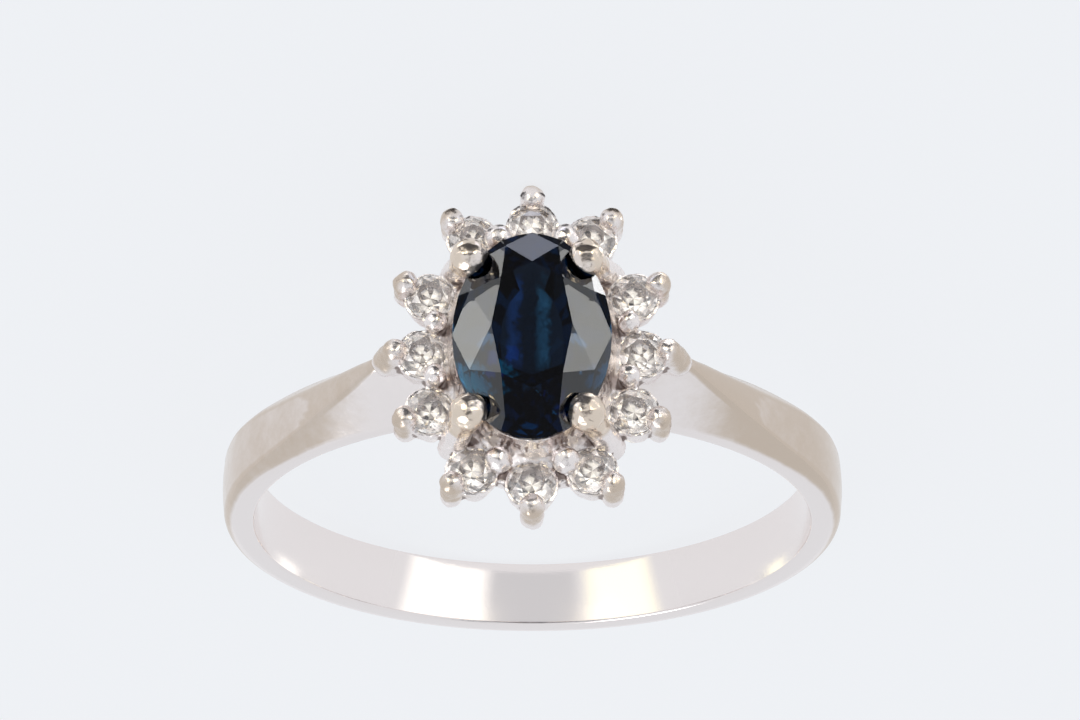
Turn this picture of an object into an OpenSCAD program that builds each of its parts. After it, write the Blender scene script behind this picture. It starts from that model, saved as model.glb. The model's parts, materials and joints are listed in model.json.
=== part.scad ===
// Cluster ring: an oval sapphire in four ball claws, twelve round brilliants
// around it in a star of cups, on a band whose shoulders narrow to the head.
// The ring lies on its side, on one outer claw and on the back of the band.

/* [Band] */
// Radius of the finger hole
finger_r = 9.1; // [8.9:0.05:9.3]
// Thickness of the band at its sides and back
band_t = 1.05; // [1:0.01:1.15]
// Width of the band against the finger, at the shoulders
shoulder_w = 2.4; // [2.3:0.02:2.5]
// Width of the band against the finger, at the back
back_w = 2.2; // [2.1:0.02:2.3]

/* [Sapphire] */
// Width of the oval stone, across the finger
sapphire_w = 5; // [4.96:0.01:5.02]
// Length of the oval stone, along the finger
sapphire_l = 7; // [6.96:0.01:7.02]
// Height of its girdle above the centre of the finger hole
sapphire_h = 13.05; // [13:0.01:13.1]

/* [Diamonds] */
// Diameter of each round stone
diamond_d = 1.5; // [1.44:0.01:1.52]
// Height of their girdles above the centre of the finger hole
diamond_h = 11.6; // [11.58:0.01:11.65]

/* [Claws] */
// Radius of the four main ball claws
claw_r = 0.52; // [0.48:0.01:0.54]
// Radius of the outer ball claws, one on each diamond
tip_r = 0.385; // [0.365:0.005:0.4]
// Radius of the inner beads at the sides, each shared by two diamonds
bead_r = 0.34; // [0.31:0.01:0.37]
// Radius of the inner beads at the ends of the oval
end_bead_r = 0.43; // [0.4:0.01:0.44]
// Gap between a stone and the metal that holds it
stone_gap = 0.03; // [0.02:0.005:0.04]

/* [Hidden] */
// The round stones, clockwise from the top one. Columns of a seat: across
// the finger, along the finger, and the way that its outer claw points.
seat_rows = [
    [0, 4.4, 90],
    [1.87, 3.93, 41],
    [3.2, 1.95, 24],
    [3.45, 0, 0]
];
function seat_below(s) = [s[0], -s[1], -s[2]];
function seat_across(s) = [-s[0], s[1], 180 - s[2]];
seats = concat(
    seat_rows,
    [for (i = [2:-1:0]) seat_below(seat_rows[i])],
    [for (i = [1:3]) seat_across(seat_below(seat_rows[i]))],
    [for (i = [2:-1:1]) seat_across(seat_rows[i])]
);
function diamond_name(i) = str("diamond_", i < 9 ? "0" : "", i + 1);

white_gold = "#cfc4b8";
dark_blue = "#0c1c33";
clear_white = "#e8eaee";

// The band, seen along the finger. Columns: angle from the head, width of
// the outer face, and how much of the thickness is flat side wall.
ANGLE = 0;
FACE_W = 1;
WALL = 2;
band_rows = [
    [10, 0.40, 0.06],
    [25, 0.40, 0.06],
    [29, 0.65, 0.10],
    [35, 0.88, 0.18],
    [41, 1.10, 0.28],
    [48, 1.31, 0.40],
    [55, 1.52, 0.50],
    [63, 1.73, 0.58],
    [73, 1.82, 0.62],
    [90, 1.90, 0.64],
    [180, 1.90, 0.64]
];
band_start = 10;        // the band runs from here round to the other side
band_step = 5;
shoulder_angle = 58;    // the straight shoulder is nearest the centre here
shoulder_sink = 0.10;   // and lies this much inside the round band
shoulder_fade = 15;     // over so many degrees it comes out to the band again
inner_start = 60;       // the band narrows against the finger from here back
shoulder_top = 11.0;    // it stays below this height under the cups
dome = 0.08;            // how far the outer face swells
bore_stock = 0.5;       // what the finger hole cuts away
bore_run = 20;          // how long that cut is
dome_steps = [-1, -0.5, 0, 0.5, 1];

// The oval collet and the plate around it. Columns: height, and distance
// outwards from the edge of the sapphire.
collet_profile = [
    [9.45, -0.72],
    [9.45, -0.36],
    [10.45, -0.16],
    [10.72, 0.35],
    [10.78, 0.92],
    [11.36, 0.92],
    [11.42, 0.10],
    [11.55, -0.04],
    [12.93, -0.06],
    [12.93, -0.36],
    [11.30, -0.62]
];
oval_steps = 48;
cup_steps = 48;
post_steps = 32;
bore_steps = 128;

// The cup of a round stone and the small hole below it. Heights are measured
// from the centre of the finger hole, here and in the claws and beads.
cup_z = [10.62, 11.55];
cup_r = [0.66, 0.84];
azure_r = 0.34;
azure_z = 10.3;

// An outer claw: its ball, the post below it and the web to its cup.
tip_out = 0.85;
tip_z = 11.85;
post_z = 10.85;
post_r = [0.34, 0.37];
foot_r = 0.35;
web_w = 0.64;
web_z = [10.82, 11.5];

// Inner beads: across, along, radius. They stand on posts out of the plate.
bead_spots = [[3.05, 0.90, bead_r], [1.05, 3.77, end_bead_r]];
bead_z = [10.9, 12.1];
bead_post_r = 0.28;

// Main claws: the ball, the foot, and the radius of the stem at each.
claw_ball = [1.87, 2.62, 13.4];
claw_foot = [2.54, 2.94, 10.85];
claw_stem_r = [0.42, 0.38];

// Cut stones. Crown and pavilion are depths in parts of the half width.
MAINS = 8;              // main facets round the crown
main_turn = 360 / MAINS;
GIRDLE = 32;            // corners round the girdle
kite_share = 0.55;      // how far down the crown the kites are widest
diamond_table = 0.57;
diamond_crown = 0.30;
diamond_pavilion = 0.86;
diamond_girdle = 0.04;  // thickness, in millimetres
lower_half = 0.30;      // how far up the pavilion the lower halves reach
seat_spin = 17;         // each stone is turned this much further
sapphire_table = [1.27, 2.15];
sapphire_table_bulge = 1.07;
sapphire_crown = 0.85;
sapphire_girdle = 0.15;
sapphire_depth = 2.2;
step_scale = [[0.72, 0.79], [0.40, 0.55]];
step_drop = [0.44, 0.78];
keel_half = 0.28;       // half of the keel, in parts of the half length

// Where the ring touches the table, and how that tilts it.
low_claw = [-(seats[0][1] + tip_out), tip_z];
back_wall = lookup(180, [for (r = band_rows) [r[ANGLE], r[WALL]]]) * band_t;
back_edge = [-back_w / 2, -(finger_r + back_wall)];
reach = low_claw - back_edge;
tilt = atan2(-reach[0], reach[1]) + asin(tip_r / norm(reach));
rest_z = -(back_edge[0] * cos(tilt) + back_edge[1] * sin(tilt));
front_y = claw_ball[1] * sin(tilt) + claw_ball[2] * cos(tilt) + claw_r;
back_face = lookup(180, [for (r = band_rows) [r[ANGLE], r[FACE_W]]]) / 2;
back_y = (finger_r + band_t - dome) * cos(tilt) + back_face * sin(tilt);
rest_y = (front_y - back_y) / 2;

// The ring is drawn with X across the finger, Y along it and Z up through
// the head, and is then laid down.
module lay_down()
    translate([0, rest_y, rest_z]) rotate([90 - tilt, 0, 0]) children();

// Band

function band_at(a, column) =
    lookup(min(a, 360 - a), [for (r = band_rows) [r[ANGLE], r[column]]]);

function band_radius(a) =
    let (b = min(a, 360 - a), flat = finger_r + band_t - shoulder_sink)
    b >= shoulder_angle ? finger_r + band_t - shoulder_sink * max(0, 1 - (b - shoulder_angle) / shoulder_fade)
        : min(flat / cos(shoulder_angle - b), shoulder_top / cos(b));

function inner_half(a) =
    lookup(min(a, 360 - a), [[inner_start, shoulder_w / 2], [180, back_w / 2]]);

function band_section(a) =
    let (r = band_radius(a), f = band_at(a, FACE_W) / 2, w = inner_half(a),
         wall = finger_r + band_at(a, WALL) * (r - finger_r))
    concat(
        [[-w, finger_r - bore_stock], [-w, wall]],
        [for (t = dome_steps) [f * t, r - dome * t * t]],
        [[w, wall], [w, finger_r - bore_stock]]
    );

// Side faces between neighbouring rows of m points, n rows, from row zero.
function wall_faces(n, m, closed) = [
    for (i = [0:n - (closed ? 1 : 2)]) for (j = [0:m - 1])
        let (a = i * m + j, b = i * m + (j + 1) % m,
             c = ((i + 1) % n) * m + (j + 1) % m, d = ((i + 1) % n) * m + j)
        each [[a, b, c], [a, c, d]]
];

module band() {
    angles = [for (a = [band_start:band_step:360 - band_start]) a];
    m = len(band_section(90));
    n = len(angles);
    polyhedron(
        points = [for (a = angles) for (p = band_section(a)) [p[1] * sin(a), p[0], p[1] * cos(a)]],
        faces = concat(
            wall_faces(n, m, false),
            [[for (j = [m - 1:-1:0]) j]],
            [[for (j = [0:m - 1]) (n - 1) * m + j]]
        )
    );
}

// Collet and plate

module collet() {
    m = len(collet_profile);
    polyhedron(
        points = [for (k = [0:oval_steps - 1])
            let (a = 360 * k / oval_steps)
            for (p = collet_profile)
                [(sapphire_w / 2 + p[1]) * cos(a), (sapphire_l / 2 + p[1]) * sin(a), p[0]]],
        faces = wall_faces(oval_steps, m, true)
    );
}

// Cups and claws

module bar(from, to, r_from, r_to) {
    v = to - from;
    translate(from)
        rotate([0, acos(v[2] / norm(v)), atan2(v[1], v[0])])
            cylinder(h = norm(v), r1 = r_from, r2 = r_to, $fn = post_steps);
}

module ball(at, r) translate(at) sphere(r = r, $fn = post_steps);

module at_seat(s) translate([s[0], s[1], 0]) rotate([0, 0, s[2]]) children();

module cup()
    translate([0, 0, cup_z[0]])
        cylinder(h = cup_z[1] - cup_z[0], r1 = cup_r[0], r2 = cup_r[1], $fn = cup_steps);

module outer_claw() {
    translate([tip_out, 0, post_z])
        cylinder(h = tip_z - post_z, r1 = post_r[0], r2 = post_r[1], $fn = post_steps);
    ball([tip_out, 0, tip_z], tip_r);
    ball([tip_out, 0, post_z], foot_r);
    translate([0, -web_w / 2, web_z[0]]) cube([tip_out, web_w, web_z[1] - web_z[0]]);
}

module inner_bead(p) {
    translate([p[0], p[1], bead_z[0]])
        cylinder(h = bead_z[1] - bead_z[0], r = bead_post_r, $fn = post_steps);
    ball([p[0], p[1], bead_z[1]], p[2]);
}

module main_claw() {
    bar(claw_foot, claw_ball, claw_stem_r[0], claw_stem_r[1]);
    ball(claw_ball, claw_r);
}

module four_ways()
    for (mx = [0, 1]) for (my = [0, 1])
        mirror([mx, 0, 0]) mirror([0, my, 0]) children();

// Cut stones

// A plane as its normal and offset, through p and holding u and v.
function plane(p, u, v) = let (n = cross(u, v)) [n, n * p];
function height_on(f, x, y) = (f[1] - f[0][0] * x - f[0][1] * y) / f[0][2];
// Where two planes cross at height z.
function meet_at(f, g, z) =
    let (c = f[1] - f[0][2] * z, d = g[1] - g[0][2] * z,
         det = f[0][0] * g[0][1] - f[0][1] * g[0][0])
    [(c * g[0][1] - f[0][1] * d) / det, (f[0][0] * d - c * g[0][0]) / det, z];

function oval_point(a, h, z) = [h[0] * cos(a), h[1] * sin(a), z];
function oval_run(a, h) = [-h[0] * sin(a), h[1] * cos(a), 0];

// A main facet through the girdle and an inner corner, level along the edge.
function main_facet(a, h, z, corner) =
    let (g = oval_point(a, h, z)) plane(g, oval_run(a, h), corner - g);

// One row of girdle corners. Odd ones lie on the half facets beside them.
function girdle_row(h, z, tips) = [for (i = [0:GIRDLE - 1])
    let (a = 360 * i / GIRDLE, p = oval_point(a, h, z), k = floor(i * MAINS / GIRDLE),
         j = i - i % 2, span = 360 / GIRDLE)
    i % 2 == 0 ? p
        : let (q = oval_point(j * span, h, z), r = oval_point((j + 2) * span, h, z),
               f = plane(q, r - q, tips[k] - q))
          [p[0], p[1], height_on(f, p[0], p[1])]];

function table_row(t, z, bulge) =
    [for (k = [0:MAINS - 1]) oval_point(k * main_turn, t * (k % 2 == 1 ? bulge : 1), z)];

// Where each main facet meets the next one, part way in.
function tip_row(h, z, corners, z_tip) =
    [for (k = [0:MAINS - 1])
        meet_at(main_facet(k * main_turn, h, z, corners[k]),
            main_facet((k + 1) * main_turn, h, z, corners[(k + 1) % MAINS]), z_tip)];

// Crown and girdle share these faces. Rows: table, tips, upper girdle,
// lower girdle.
TIPS = MAINS;
UPPER = 2 * MAINS;
LOWER = UPPER + GIRDLE;
REST = LOWER + GIRDLE;
function upper(i) = UPPER + i % GIRDLE;
function lower(i) = LOWER + i % GIRDLE;
function tip(k) = TIPS + (k + MAINS) % MAINS;
crown_faces = concat(
    [[for (k = [MAINS - 1:-1:0]) k]],
    [for (k = [0:MAINS - 1]) [(k + 1) % MAINS, tip(k), k]],
    [for (k = [0:MAINS - 1]) [tip(k), upper(4 * k), tip(k - 1), k]],
    [for (k = [0:MAINS - 1]) for (s = [0, 2]) let (i = 4 * k + s)
        [upper(i + 2), upper(i + 1), upper(i), tip(k)]],
    [for (i = [0:GIRDLE - 1]) [upper(i), upper(i + 1), lower(i + 1), lower(i)]]
);

module round_brilliant(d) {
    r = d / 2;
    h = [r, r];
    top = diamond_girdle / 2;
    table_z = top + diamond_crown * r;
    table = table_row(diamond_table * h, table_z, 1);
    tips = tip_row(h, top, table, table_z - kite_share * (table_z - top));
    culet = [0, 0, -top - diamond_pavilion * r];
    below = tip_row(h, -top, [for (k = [1:MAINS]) culet],
        -top - (1 - lower_half) * diamond_pavilion * r);
    polyhedron(
        points = concat(table, tips, girdle_row(h, top, tips), girdle_row(h, -top, below), below, [culet]),
        faces = concat(
            crown_faces,
            [for (k = [0:MAINS - 1])
                [REST + MAINS, REST + (k + MAINS - 1) % MAINS, lower(4 * k), REST + k]],
            [for (k = [0:MAINS - 1]) for (s = [0, 2]) let (i = 4 * k + s)
                [REST + k, lower(i), lower(i + 1), lower(i + 2)]]
        )
    );
}

module oval_mixed_cut() {
    h = [sapphire_w, sapphire_l] / 2;
    top = sapphire_girdle / 2;
    table_z = top + sapphire_crown;
    table = table_row(sapphire_table, table_z, sapphire_table_bulge);
    tips = tip_row(h, top, table, table_z - kite_share * (table_z - top));
    m = GIRDLE / 2;
    steps = [for (s = [0:1]) [for (i = [0:m - 1])
        oval_point(360 * i / m, [h[0] * step_scale[s][0], h[1] * step_scale[s][1]],
            -top - step_drop[s] * sapphire_depth)]];
    keel = [for (y = [1, -1]) [0, y * keel_half * h[1], -top - sapphire_depth]];
    first = REST;
    second = REST + m;
    ends = REST + 2 * m;
    polyhedron(
        points = concat(table, tips, girdle_row(h, top, tips),
            [for (i = [0:GIRDLE - 1]) oval_point(360 * i / GIRDLE, h, -top)],
            steps[0], steps[1], keel),
        faces = concat(
            crown_faces,
            [for (i = [0:m - 1]) let (j = (i + 1) % m) each [
                [first + i, lower(2 * i), lower(2 * i + 1)],
                [first + i, lower(2 * i + 1), first + j],
                [first + j, lower(2 * i + 1), lower(2 * i + 2)],
                [second + i, first + i, first + j],
                [second + i, first + j, second + j]]],
            [for (i = [0:m - 1]) let (j = (i + 1) % m, e = ends + (i < m / 2 ? 0 : 1))
                [e, second + i, second + j]],
            [[ends + 1, second, ends], [ends, second + m / 2, ends + 1]]
        )
    );
}

// Room for the stones, a little larger than each of them
culet_gap = 2 * stone_gap;

module diamond_room() {
    r = diamond_d / 2;
    top = diamond_girdle / 2;
    crown = diamond_crown * r;
    tip_radius = r * (1 - (1 - diamond_table) * (1 - kite_share)) / cos(180 / MAINS);
    rotate_extrude($fn = cup_steps) polygon([
        [0, -top - diamond_pavilion * r - culet_gap],
        [r + stone_gap, -top - stone_gap],
        [r + stone_gap, top + stone_gap],
        [tip_radius + stone_gap, top + crown * (1 - kite_share) + stone_gap],
        [diamond_table * r + stone_gap, top + crown + stone_gap],
        [0, top + crown + stone_gap]
    ]);
    translate([0, 0, azure_z - diamond_h]) cylinder(h = diamond_h - azure_z, r = azure_r, $fn = post_steps);
}

// Columns: height from the girdle's middle, and the shares of the stone's
// width and length there.
girdle_room = sapphire_girdle / 2 + 0.025;
sapphire_room_rows = [
    [-1.75, 0.50, 0.62],
    [-girdle_room, 1, 1],
    [girdle_room, 1, 1],
    [girdle_room + 0.46, 0.86, 0.90],
    [girdle_room + sapphire_crown, 0.61, 0.73]
];
module sapphire_room() {
    n = len(sapphire_room_rows);
    polyhedron(
        points = [for (r = sapphire_room_rows) for (k = [0:oval_steps - 1])
            let (a = 360 * k / oval_steps)
            [(sapphire_w / 2 * r[1] + stone_gap) * cos(a), (sapphire_l / 2 * r[2] + stone_gap) * sin(a), r[0]]],
        faces = concat(
            [for (f = wall_faces(n, oval_steps, false)) [f[2], f[1], f[0]]],
            [[for (k = [0:oval_steps - 1]) k]],
            [[for (k = [oval_steps - 1:-1:0]) (n - 1) * oval_steps + k]]
        )
    );
}

// Nodes

module ring_mount() color(white_gold) lay_down() difference() {
    union() {
        band();
        collet();
        for (s = seats) at_seat(s) {
            cup();
            outer_claw();
        }
        four_ways() {
            for (p = bead_spots) inner_bead(p);
            main_claw();
        }
    }
    for (s = seats) at_seat(s) translate([0, 0, diamond_h]) diamond_room();
    translate([0, 0, sapphire_h]) sapphire_room();
    rotate([90, 0, 0]) cylinder(h = bore_run, r = finger_r, center = true, $fn = bore_steps);
}

module sapphire() color(dark_blue) lay_down()
    translate([0, 0, sapphire_h]) oval_mixed_cut();

module diamond(i) color(clear_white) lay_down()
    translate([seats[i][0], seats[i][1], diamond_h])
        rotate([0, 0, seats[i][2] + i * seat_spin]) round_brilliant(diamond_d);

ring_mount();
sapphire();
for (i = [0:len(seats) - 1])
    diamond(i);
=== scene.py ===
# %% [markdown]
# A cluster ring, finished in Blender around a fixed model
#
# The solid model of this ring is already right in size: an oval sapphire, twelve
# round brilliants and one cast metal mount. This lesson gives it its looks. The
# stones are kept as they are and get their materials, because flat facets with
# crisp edges are just what a cut stone has. The metal is drawn again as smooth
# meshes, because cast and polished gold has no sharp edges.

# %% Load the fixed model
import json
import math

import bmesh
import bpy
import numpy as np
from mathutils import Matrix, Vector


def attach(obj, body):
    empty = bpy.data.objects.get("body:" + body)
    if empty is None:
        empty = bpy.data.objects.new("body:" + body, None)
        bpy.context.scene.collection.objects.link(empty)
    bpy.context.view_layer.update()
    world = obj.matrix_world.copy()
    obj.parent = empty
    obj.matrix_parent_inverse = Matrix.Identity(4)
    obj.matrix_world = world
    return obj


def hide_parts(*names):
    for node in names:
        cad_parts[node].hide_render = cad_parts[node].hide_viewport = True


MM = 0.001
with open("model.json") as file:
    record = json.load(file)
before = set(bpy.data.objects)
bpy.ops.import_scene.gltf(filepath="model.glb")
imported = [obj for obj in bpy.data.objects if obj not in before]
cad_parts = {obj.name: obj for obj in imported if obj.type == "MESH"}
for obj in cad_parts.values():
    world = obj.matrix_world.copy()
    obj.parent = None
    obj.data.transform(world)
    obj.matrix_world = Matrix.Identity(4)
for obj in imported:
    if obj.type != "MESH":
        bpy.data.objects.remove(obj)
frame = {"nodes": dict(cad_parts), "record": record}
scene = bpy.context.scene
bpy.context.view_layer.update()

# %% [markdown]
# The ring lies on its side, a little tilted, so drawing it in place would be
# awkward. It is drawn upright on a bench instead, in millimetres: X across the
# finger, Y along it, and Z up through the head. The finger hole's own axis and
# place, which the model states, give the matrix that lays the bench on the floor.

# %% The bench and the finger hole
hole = next(m for m in frame["record"]["mounts"] if m["name"] == "finger_hole")
finger_r = hole["dims"]["r_mm"]
along = Vector(hole["axis"]).normalized()
across = Vector((1, 0, 0))
head = across.cross(along)
centre = Vector(hole["pos_m"])
bench = Matrix.Translation(centre) @ Matrix((across, along, head)).transposed().to_4x4()
bench = bench @ Matrix.Scale(MM, 4)
print("tilt of the ring", round(math.degrees(math.asin(along.y)), 2), "degrees")

# %% [markdown]
# A finish is a web of shader nodes, which could be laid out one by one. A small
# class wraps a socket instead, so that the maths of a finish reads as an ordinary
# formula. Every other node comes from one method, which sets what the node is
# first and then fills its sockets.

# %% Shader helpers


class Term:
    """A shader value that adds Math nodes when it is used in a formula."""

    def __init__(self, finish, socket):
        self.finish = finish
        self.socket = socket

    def math(self, kind, *others):
        values = dict(enumerate((self, *others)))
        return self.finish.node("ShaderNodeMath", {"operation": kind}, values)

    def __add__(self, other):
        return self.math("ADD", other)

    def __radd__(self, other):
        return self.math("ADD", other)

    def __sub__(self, other):
        return self.math("SUBTRACT", other)

    def __rsub__(self, other):
        return self.finish.node("ShaderNodeMath", {"operation": "SUBTRACT"}, {0: other, 1: self})

    def __mul__(self, other):
        return self.math("MULTIPLY", other)

    def __rmul__(self, other):
        return self.math("MULTIPLY", other)


class Finish:
    """A material that is built by formula."""

    def __init__(self, name):
        self.material = bpy.data.materials.new(name)
        self.material.use_nodes = True
        self.tree = self.material.node_tree
        self.tree.nodes.clear()
        self.output = self.tree.nodes.new("ShaderNodeOutputMaterial")

    def node(self, kind, settings, values, out=0):
        made = self.tree.nodes.new(kind)
        for name, value in settings.items():
            setattr(made, name, value)
        for key, value in values.items():
            socket = made.inputs[key]
            if isinstance(value, Term):
                self.tree.links.new(value.socket, socket)
            else:
                socket.default_value = value
        return Term(self, made.outputs[out])

    def place(self):
        return self.node("ShaderNodeTexCoord", {}, {}, "Object")

    def in_mm(self):
        return self.node("ShaderNodeMapping", {}, {"Vector": self.place(), "Scale": (1 / MM,) * 3})

    def attribute(self, name):
        return self.node("ShaderNodeAttribute", {"attribute_name": name}, {}, "Fac")

    def noise(self, vector, scale, detail):
        return self.node("ShaderNodeTexNoise", {}, {"Vector": vector, "Scale": scale, "Detail": detail})

    def blend(self, share, first, second):
        values = {0: share, 6: first, 7: second}
        return self.node("ShaderNodeMix", {"data_type": "RGBA"}, values, 2)

    def between(self, value, start, end):
        """Rises softly from 0 to 1 while a value goes from start to end."""
        values = {"Value": value, "From Min": start, "From Max": end}
        return self.node("ShaderNodeMapRange", {"interpolation_type": "SMOOTHSTEP"}, values)

    def dot(self, vector, axis):
        values = {0: vector, 1: tuple(axis)}
        return self.node("ShaderNodeVectorMath", {"operation": "DOT_PRODUCT"}, values, "Value")

    def on_bench(self, axis):
        """How far a point lies along an axis of the bench, in mm."""
        return self.dot(self.place(), axis) * (1 / MM) - axis.dot(centre) / MM

    def principled(self, values):
        return self.node("ShaderNodeBsdfPrincipled", {}, values)

    def close(self, surface, volume=None):
        self.tree.links.new(surface.socket, self.output.inputs["Surface"])
        if volume is not None:
            self.tree.links.new(volume.socket, self.output.inputs["Volume"])
        return self.material


print("a finish can use", [name for name in vars(Finish) if not name.startswith("_")])

# %% [markdown]
# White gold that has been worn loses its bright plating and turns a warm, pale
# tan, and yellower on the claws that stand up most, while sheltered places stay
# whiter. Hollows and pits get a dark brown painted shade, as if less light reached
# them. A painted map could say where, but it would need an unwrapped mesh. Four
# vertex attributes steer the mix instead: wear; the painted shade of the hollows,
# which also makes them a little rougher; matt, which is where the metal was never
# polished smooth; and claw. Noise in three sizes breaks up their edges, and
# stretched noise adds fine scratches.

# %% White gold
WORN = (0.62, 0.52, 0.43, 1)
FRESH = (0.88, 0.82, 0.80, 1)
CLAW_GOLD = (0.77, 0.66, 0.555, 1)
# Painted shade: the dark brown that hollows and pits are painted with, as if light didn't reach them.
PAINTED_SHADE = (0.20, 0.14, 0.12, 1)
MIDDLE = 0.5  # of any noise
GOLD_NOISE = {  # waves per mm, detail, how far it moves the wear: everywhere, and more where matt
    "cloud": (0.7, 3.0, 0.20, 0.0),
    "patch": (2.6, 4.0, 0.06, 0.64),
    "fine": (9.0, 6.0, 0.06, 0.14)}
SCRATCH_STRETCH = (1.5, 22.0, 22.0)
SCRATCH_NOISE = (1.0, 5.0)
WEAR_EDGE = (0.2, 0.8)
HOLLOW_SHADE_EDGE = (0.25, 0.85)
HOLLOW_SHADE_COVER = 0.8
ROUGH, ROUGH_MATT, ROUGH_IN_HOLLOWS = 0.14, 0.14, 0.20
ROUGH_SHIFT, ROUGH_SHIFT_MATT = 0.06, 0.20
PATCH_LUMPS, FINE_LUMPS, SCRATCH_LUMPS = 0.5, 0.4, 0.06
LUMPS_EVERYWHERE, LUMPS_MATT = 0.12, 0.88
LUMP_STRENGTH, LUMP_HEIGHT = 0.45, 0.05


def white_gold():
    f = Finish("white_gold")
    place = f.in_mm()
    wear, grime, matt, claw = (f.attribute(name) for name in ("wear", "grime", "matt", "claw"))
    noise = {name: f.noise(place, row[0], row[1]) for name, row in GOLD_NOISE.items()}
    uneven = sum((noise[name] - MIDDLE) * (row[2] + matt * row[3]) for name, row in GOLD_NOISE.items())
    patch, fine = noise["patch"], noise["fine"]
    stretched = f.node("ShaderNodeMapping", {}, {"Vector": place, "Scale": SCRATCH_STRETCH})
    scratch = f.noise(stretched, *SCRATCH_NOISE)
    worn = f.between(wear + uneven, *WEAR_EDGE)
    colour = f.blend(worn, FRESH, f.blend(claw, WORN, CLAW_GOLD))
    # How much painted shade the hollows and pits get, broken up by noise; these places are also a little
    # rougher.
    painted_shade_share = f.between(grime * (fine + patch), *HOLLOW_SHADE_EDGE) * HOLLOW_SHADE_COVER
    rough = ROUGH + matt * ROUGH_MATT + grime * ROUGH_IN_HOLLOWS
    rough = rough + (fine - MIDDLE) * (ROUGH_SHIFT + matt * ROUGH_SHIFT_MATT)
    lumps = (patch * PATCH_LUMPS + fine * FINE_LUMPS) * (LUMPS_EVERYWHERE + matt * LUMPS_MATT)
    bump = f.node("ShaderNodeBump", {}, {
        "Strength": LUMP_STRENGTH, "Distance": LUMP_HEIGHT * MM, "Height": lumps + scratch * SCRATCH_LUMPS})
    return f.close(f.principled({
        "Base Color": f.blend(painted_shade_share, colour, PAINTED_SHADE), "Metallic": 1.0, "Roughness": rough, "Normal": bump}))


gold = white_gold()
print("metal finish", gold.name)

# %% [markdown]
# A cut stone is clear all through, so its looks are its refraction, its
# reflections and what it swallows on the way. The sapphire is so dark that a few
# millimetres swallow most light, which is an even absorption. Natural sapphire
# also has straight bands of colour. A solid pattern inside it would be slow to
# render, so the bands are a tint of its lower facets, and show through the flat
# top as a blue and a teal streak. Light that bounces many times in a real stone
# comes back as gleams, and a faint glow of the lower facets stands in for those.

# %% Sapphire
SAPPHIRE_GIRDLE = 13.05  # height on the bench of its widest level
BANDS = [  # (across the finger in mm, half width, colour)
    (0.56, 0.30, (0.012, 0.040, 0.20, 1)),
    (-0.34, 0.26, (0.05, 0.20, 0.30, 1))]
BAND_WAVE, BAND_GRAIN, BAND_CORE = 0.45, 0.30, 0.2
BAND_MIDDLE, BAND_END, BAND_END_CORE, BAND_END_WAVE = -0.6, 1.7, 0.8, 0.8
BAND_GRAIN_SHARE, BAND_CLOUDS = 0.5, (0.5, 0.95)
GLEAMS = [  # (across, along the finger in mm, half sizes, colour)
    (1.35, 1.00, 0.95, 0.50, (0.02, 0.25, 0.34, 1)),
    (-1.75, 0.95, 0.60, 0.40, (0.0, 0.07, 0.14, 1)),
    (0.62, 0.35, 0.25, 0.35, (0.0, 0.06, 0.30, 1)),
    (0.10, 2.3, 0.28, 0.25, (0.0, 0.05, 0.13, 1))]
GLEAM_GRAIN, GLEAM_WAVE, GLEAM_EDGE = 2.4, 1.5, (1.0, 0.1)
WAVE_NOISE, GRAIN_NOISE = (1.8, 4.0), (5.0, 3.0)
DEEP = (0.003, 0.003, 0.005, 1)
CLEAR = (0.9, 0.95, 1, 1)
NO_LIGHT = (0.0, 0.0, 0.0, 1)
PASSED_COLOUR, SWALLOWED = (0.01, 0.30, 0.46, 1), 1000.0  # the second is per metre
TINT_DROP, TINT_EDGE = 0.12, 0.1  # mm below the girdle
SAPPHIRE_IOR = 1.77


def sapphire_finish():
    f = Finish("sapphire")
    x, y = f.on_bench(across), f.on_bench(along)
    level = f.on_bench(head) - SAPPHIRE_GIRDLE
    wave, grain = f.noise(f.in_mm(), *WAVE_NOISE), f.noise(f.in_mm(), *GRAIN_NOISE)
    clouds = f.between(wave + grain * BAND_GRAIN_SHARE, *BAND_CLOUDS)
    from_middle = (y - BAND_MIDDLE + (wave - MIDDLE) * BAND_END_WAVE).math("ABSOLUTE")
    ends = f.between(from_middle, BAND_END, BAND_END_CORE)
    wander = (wave - MIDDLE) * BAND_WAVE + (grain - MIDDLE) * BAND_GRAIN
    tint = DEEP
    for offset, half, colour in BANDS:
        off = (x - offset + wander).math("ABSOLUTE")
        tint = f.blend(f.between(off, half, half * BAND_CORE) * ends * clouds, tint, colour)
    tint = f.blend(f.between(level, -TINT_DROP - TINT_EDGE, -TINT_DROP + TINT_EDGE), tint, CLEAR)
    below = f.between(level, -TINT_DROP, -TINT_DROP - TINT_EDGE)
    gleam = NO_LIGHT
    for gleam_x, gleam_y, half_x, half_y, colour in GLEAMS:
        off_x, off_y = (x - gleam_x) * (1 / half_x), (y - gleam_y) * (1 / half_y)
        far = off_x * off_x + off_y * off_y + (grain - MIDDLE) * GLEAM_GRAIN + (wave - MIDDLE) * GLEAM_WAVE
        gleam = f.blend(f.between(far, *GLEAM_EDGE) * below, gleam, colour)
    surface = f.principled({
        "Base Color": tint, "Roughness": 0.0, "IOR": SAPPHIRE_IOR, "Transmission Weight": 1.0,
        "Emission Color": gleam, "Emission Strength": 1.0})
    inside = f.node("ShaderNodeVolumeAbsorption", {}, {"Color": PASSED_COLOUR, "Density": SWALLOWED})
    return f.close(surface, inside)


blue = sapphire_finish()
print("bands and gleams in the sapphire", len(BANDS), len(GLEAMS))
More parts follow.
